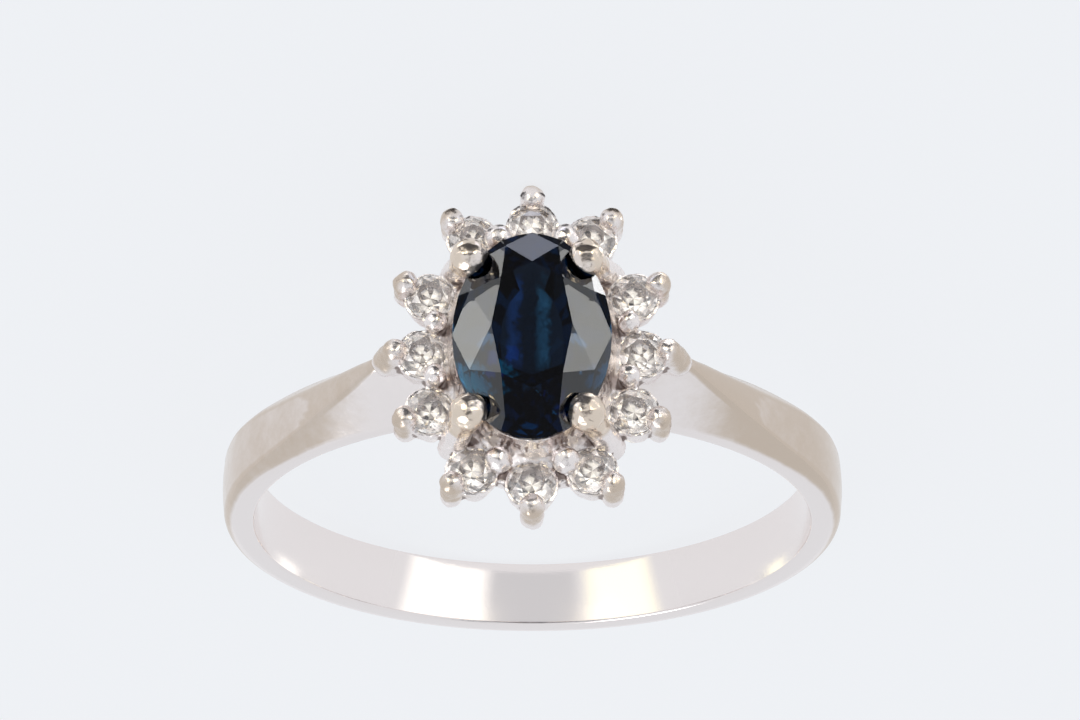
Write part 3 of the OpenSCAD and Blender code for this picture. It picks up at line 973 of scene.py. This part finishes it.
# %% Camera
WIDE_PX, HIGH_PX, SCALE_PX, SENSOR = 1080, 720, 32.0, 36.0
LOOK_ANGLE, DISTANCE = math.radians(23), 250.0
SAPPHIRE_PX = (532, 336)
NEAR_CLIP, FAR_CLIP = 0.01, 10


def lay(x, y, z):
    """A place on the bench, laid on the floor."""
    return bench @ Vector((x, y, z))


turned = bench.to_3x3().normalized()
look_along, look_head = math.sin(LOOK_ANGLE), math.cos(LOOK_ANGLE)
back = turned @ Vector((0, look_along, look_head))
up = turned @ Vector((0, -look_head, look_along))
right = up.cross(back)
shift_right = (WIDE_PX / 2 - SAPPHIRE_PX[0]) / SCALE_PX
shift_up = (SAPPHIRE_PX[1] - HIGH_PX / 2) / SCALE_PX
target = lay(0, 0, SAPPHIRE_GIRDLE) + (right * shift_right + up * shift_up) * MM
camera = add_object("camera", bpy.data.cameras.new("camera"))
camera.data.sensor_width = SENSOR
camera.data.lens = SCALE_PX * DISTANCE * SENSOR / WIDE_PX
camera.data.clip_start = NEAR_CLIP
camera.data.clip_end = FAR_CLIP
camera_turn = Matrix((right, up, back)).transposed().to_4x4()
camera.matrix_world = Matrix.Translation(target + back * DISTANCE * MM) @ camera_turn
scene.camera = camera
print("camera height above the floor in mm", round(camera.location.z / MM, 1),
      "lens", round(camera.data.lens, 1))

# %% [markdown]
# The floor and the lights are a small photographer's table. The floor is a pale
# sheet that glows by itself, as if lit from below, so that it stays even and
# shadows are faint. Gold and cut stones look like what they mirror, and a bright
# table alone would wash them out, so dark cards stand round the ring. Each is as
# large as what one facet or wall mirrors: near strips for the metal, a card behind
# the camera for the flat top of the sapphire, and small ones for its other facets.

# %% Floor and dark cards
FLOOR_REACH, FLOOR_COLOUR, FLOOR_GLOW = 900, (0.16, 0.163, 0.168), 4.62
CARD_COLOUR, DULL = (0.10, 0.10, 0.11), 0.9
FRONT_CARD = (-7.8, 7.8, -110, -13.6, 0.3)
NEAR_STRIPS = ((0.5, 1.4), (2.1, 3.4), (9.0, 12.0))
STRIP_ALONG, STRIP_HEIGHT = (-11.3, -10.4), 0.15
CARDS = [  # (name, distance in mm, elevation, turn to the side in degrees, half width, half height)
    ("camera_card", 330, 28, 0, 105, 62), ("near_kite_card", 330, 53, 0, 36, 32),
    ("left_star_card", 330, 29, 27, 34, 34), ("right_star_card", 330, 29, -27, 34, 34),
    ("left_girdle_card", 100, 68, 69, 11, 11), ("right_girdle_card", 100, 68, -69, 11, 11)]
CARD_AIM = 1.5  # along the finger from the sapphire's middle
SQUARE = ((-1, -1), (1, -1), (1, 1), (-1, 1))


def glowing(f, colour, light, glow):
    return f.close(f.principled({
        "Base Color": (*colour, 1), "Roughness": DULL, "Specular IOR Level": 0.0,
        "Emission Color": light, "Emission Strength": glow}))


def sheet(name, corners, material):
    """A flat sheet of the stage, from its corners in metres."""
    mesh = bpy.data.meshes.new(name)
    mesh.from_pydata([tuple(c) for c in corners], [], [(0, 1, 2, 3)])
    out = add_object(name, mesh)
    mesh.materials.append(material)
    return out


def lying(x_low, x_high, y_low, y_high, height):
    return [Vector(c) * MM for c in ((x_low, y_low, height), (x_high, y_low, height),
                                     (x_high, y_high, height), (x_low, y_high, height))]


def hide(out):
    """Leaves a sheet visible in metal and glass alone."""
    out.visible_camera = False
    out.visible_diffuse = False
    out.visible_shadow = False


def facing_card(name, distance, rise, turn, half_wide, half_high):
    """A card at some distance from the ring, facing it."""
    rise, turn = math.radians(rise), math.radians(turn)
    flat = Vector((math.sin(turn), -math.cos(turn), 0))
    way = flat * math.cos(rise) + Vector((0, 0, math.sin(rise)))
    wide = way.cross(Vector((0, 0, 1))).normalized()
    high = wide.cross(way)
    middle = lay(0, CARD_AIM, SAPPHIRE_GIRDLE) + way * distance * MM
    sheet(name, [middle + (wide * i * half_wide + high * j * half_high) * MM for i, j in SQUARE], dark)


floor_finish = glowing(Finish("pale_floor"), FLOOR_COLOUR, (*FLOOR_COLOUR, 1), FLOOR_GLOW)
floor_corners = lying(-FLOOR_REACH, FLOOR_REACH, -FLOOR_REACH, FLOOR_REACH, 0.0)
sheet("floor", floor_corners, floor_finish)
dark = glowing(Finish("dark_card"), CARD_COLOUR, (*CARD_COLOUR, 1), 0.0)
hide(sheet("front_card", lying(*FRONT_CARD), dark))
for x_low, x_high in NEAR_STRIPS:
    for side in (1, -1):
        hide(sheet("near_card", lying(side * x_low, side * x_high, *STRIP_ALONG, STRIP_HEIGHT), dark))
for card in CARDS:
    facing_card(*card)
print("dark cards", 1 + 2 * len(NEAR_STRIPS) + len(CARDS))

# %% [markdown]
# Soft boxes are what the bright facets mirror. A real table has two or three large
# ones, but then most facets of this dark stone would stay black, so small boxes
# lie on the floor, each where one kite or star facet of the crown looks to. Two
# warm sparks in front give the balls of the claws their glints, and a broad box
# above gives soft light. The boxes show in metal and glass and don't light the
# floor, so the background stays even.

# %% Soft boxes
WHITE, CREAM, LAVENDER, WARM = (1, 1, 1), (1, 0.99, 0.93), (0.64, 0.71, 1.0), (1, 0.88, 0.58)
FLOOR_BOX_HEIGHT, STRAIGHT_UP = 0.4, 50
FLOOR_BOXES = [  # (name, across, along the floor, glow, colour)
    ("far_kite_box", (-0.9, 0.9), (-13.1, -12.0), 0.9, LAVENDER),
    ("claw_glint", (-4.3, -6.2), (-10.8, -10.0), 5.5, WHITE)]
SIDE_BOXES = {  # across, along the floor, glow on the left, glow on the right
    "far_side_kite": ((3.0, 5.4), (-13.2, -12.1), 1.5, 1.6),
    "side_star": ((8.1, 11.4), (-19.8, -17.5), 2.2, 2.3),
    "side_kite": ((13.9, 21.7), (-19.8, -16.8), 3.1, 2.35),
    "near_star": ((38, 51), (-53, -41), 1.0, 2.0)}
HIGH_BOXES = [  # (name, place, what it faces, width, height, glow, colour)
    ("left_spark", (48, -92, 10), (0, -12, 5), 22, 22, 10.0, WARM),
    ("right_spark", (-48, -92, 10), (0, -12, 5), 22, 22, 10.0, WARM),
    ("sky_box", (60, 10, 120), (0, -8, 5), 90, 60, 2.6, WHITE)]


def soft_box(name, place, aim, width, height, glow, colour):
    """A soft box of a given glow, which metal and glass show and the floor doesn't."""
    data = bpy.data.lights.new(name, "AREA")
    data.shape = "RECTANGLE"
    data.size = width * MM
    data.size_y = height * MM
    data.energy = glow * math.pi * width * height * MM * MM
    data.color = colour
    out = add_object(name, data)
    out.visible_diffuse = False
    out.location = Vector(place) * MM
    away = out.location - Vector(aim) * MM
    out.rotation_mode = "QUATERNION"
    out.rotation_quaternion = away.to_track_quat("Z", "Y")


def floor_box(name, x_span, y_span, glow, colour):
    """A soft box that lies on the floor and shines up."""
    x, y = sum(x_span) / 2, sum(y_span) / 2
    soft_box(name, (x, y, FLOOR_BOX_HEIGHT), (x, y, STRAIGHT_UP), abs(x_span[1] - x_span[0]),
             y_span[1] - y_span[0], glow, colour)


for box in FLOOR_BOXES:
    floor_box(*box)
for name, (x_span, y_span, left_glow, right_glow) in SIDE_BOXES.items():
    floor_box("left_" + name, x_span, y_span, left_glow, CREAM)
    floor_box("right_" + name, [-x for x in x_span], y_span, right_glow, CREAM)
for box in HIGH_BOXES:
    soft_box(*box)

# %% [markdown]
# The inner wall of the band mirrors what is beyond the finger hole: two soft
# patches of light with a shade between them. A box with a hard edge would give
# the wall a hard edge too, so a sheet behind the hole carries the patches as a
# glow that fades at its sides. The sky is even, pale and a little blue.

# %% Light beyond the hole, and sky
GLOW_Y, GLOW_LOW, GLOW_HIGH, GLOW_HALF = 9.3, 0.03, 2.4, 4.2
SKY_GLOW, SHADE_GLOW, SHADE_EDGE = (0.85, 0.87, 0.90, 1), (0.68, 0.70, 0.73, 1), (0.8, 1.2)
PATCHES = [  # (inner edge, outer edge, in mm across and from none to full, colour of the glow)
    ((0.85, 1.45), (3.75, 2.9), (1.5, 1.5, 1.455, 1)),
    ((-1.0, -1.65), (-3.5, -2.65), (1.5, 1.485, 1.2, 1))]
SKY_COLOUR, SKY_STRENGTH = (0.90, 0.93, 0.97, 1), 0.90


def hole_light():
    f = Finish("hole_light")
    x = f.on_bench(across)
    glow = f.blend(f.between(x.math("ABSOLUTE"), *SHADE_EDGE), SHADE_GLOW, SKY_GLOW)
    for inner, outer, colour in PATCHES:
        glow = f.blend(f.between(x, *inner) * f.between(x, *outer), glow, colour)
    return glowing(f, (0, 0, 0), glow, 1.0)


hide(sheet("hole_light", [Vector((side * GLOW_HALF, GLOW_Y, height)) * MM for side, height in (
    (-1, GLOW_LOW), (1, GLOW_LOW), (1, GLOW_HIGH), (-1, GLOW_HIGH))], hole_light()))
world = bpy.data.worlds.new("studio")
scene.world = world
world.use_nodes = True
sky = world.node_tree.nodes["Background"]
sky.inputs["Color"].default_value = SKY_COLOUR
sky.inputs["Strength"].default_value = SKY_STRENGTH
scene.view_settings.view_transform = "Standard"
print("patches of light beyond the hole", len(PATCHES))

# %% [markdown]
# The looks keep the ring's size, but the claws may stand out of the fixed
# model's box by a hair.
